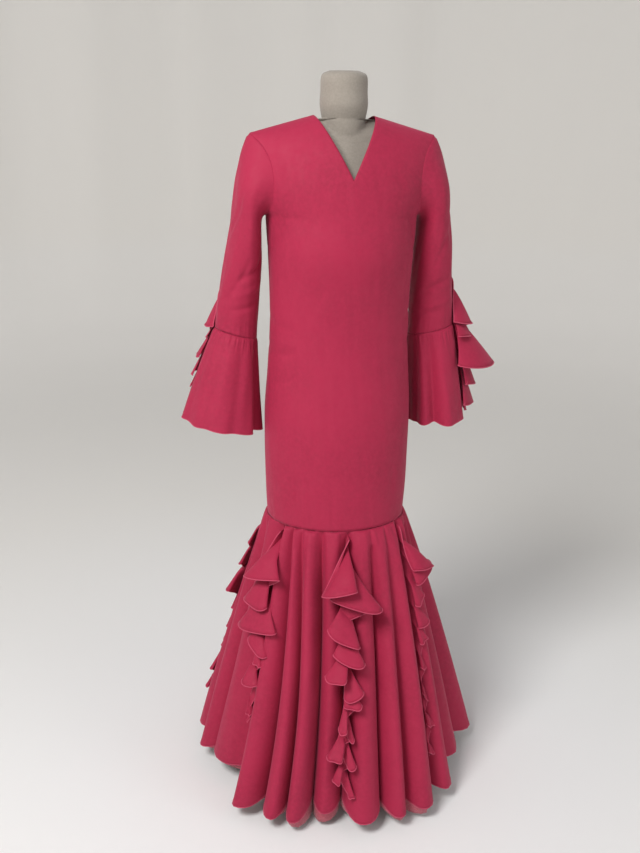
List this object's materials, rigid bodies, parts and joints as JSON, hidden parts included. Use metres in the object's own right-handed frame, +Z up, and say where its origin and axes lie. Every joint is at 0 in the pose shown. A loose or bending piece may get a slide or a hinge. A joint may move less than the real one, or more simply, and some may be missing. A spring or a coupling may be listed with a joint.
{
  "type": "flamenco dress on a limbless dress form",
  "caption": "Long fitted crimson flamenco dress with flounced bell sleeves and a gored, folded skirt with cascading flounces, worn by a limbless dress form on a round base.",
  "frame": {"origin": "centre of the dress form's base, on the floor", "axes": "+Z up, -Y towards the dress's front, +X towards the wearer's left"},
  "size_m": [0.686, 0.6713, 1.545],
  "materials": {
    "crepe": "matte crepe with a soft sheen",
    "tulle": "stiff net",
    "zip_tape": "woven tape",
    "zip_metal": "lacquered in the dress's colour",
    "form_cover": "knitted cover",
    "painted_steel": "satin"
  },
  "bodies": {
    "dress_and_form": {"bodice_front": "crepe", "bodice_back_left": "crepe", "bodice_back_right": "crepe", "sleeve_right": "crepe", "sleeve_left": "crepe", "sleeve_bell_right": "crepe", "sleeve_bell_left": "crepe", "sleeve_cascade_right": "crepe", "sleeve_cascade_left": "crepe", "skirt_gore_front_right": "crepe", "skirt_gore_front_left": "crepe", "skirt_gore_side_left": "crepe", "skirt_gore_back_left": "crepe", "skirt_gore_back_right": "crepe", "skirt_gore_side_right": "crepe", "skirt_cascade_front": "crepe", "skirt_cascade_front_left": "crepe", "skirt_cascade_back_left": "crepe", "skirt_cascade_back": "crepe", "skirt_cascade_back_right": "crepe", "skirt_cascade_front_right": "crepe", "underskirt": "tulle", "zip_tape": "zip_tape", "zip_slider": "zip_metal", "form_torso": "form_cover", "form_pole": "painted_steel", "form_base": "painted_steel"},
    "zip_pull_body": {"zip_pull": "zip_metal"}
  },
  "joints": [
    {"name": "zip_pull_swing", "type": "hinge", "parent": "dress_and_form", "child": "zip_pull_body", "pos_m": [0, 0.08883, 1.40674], "axis": [1, 0, 0], "range_deg": [0, 150]}
  ]
}
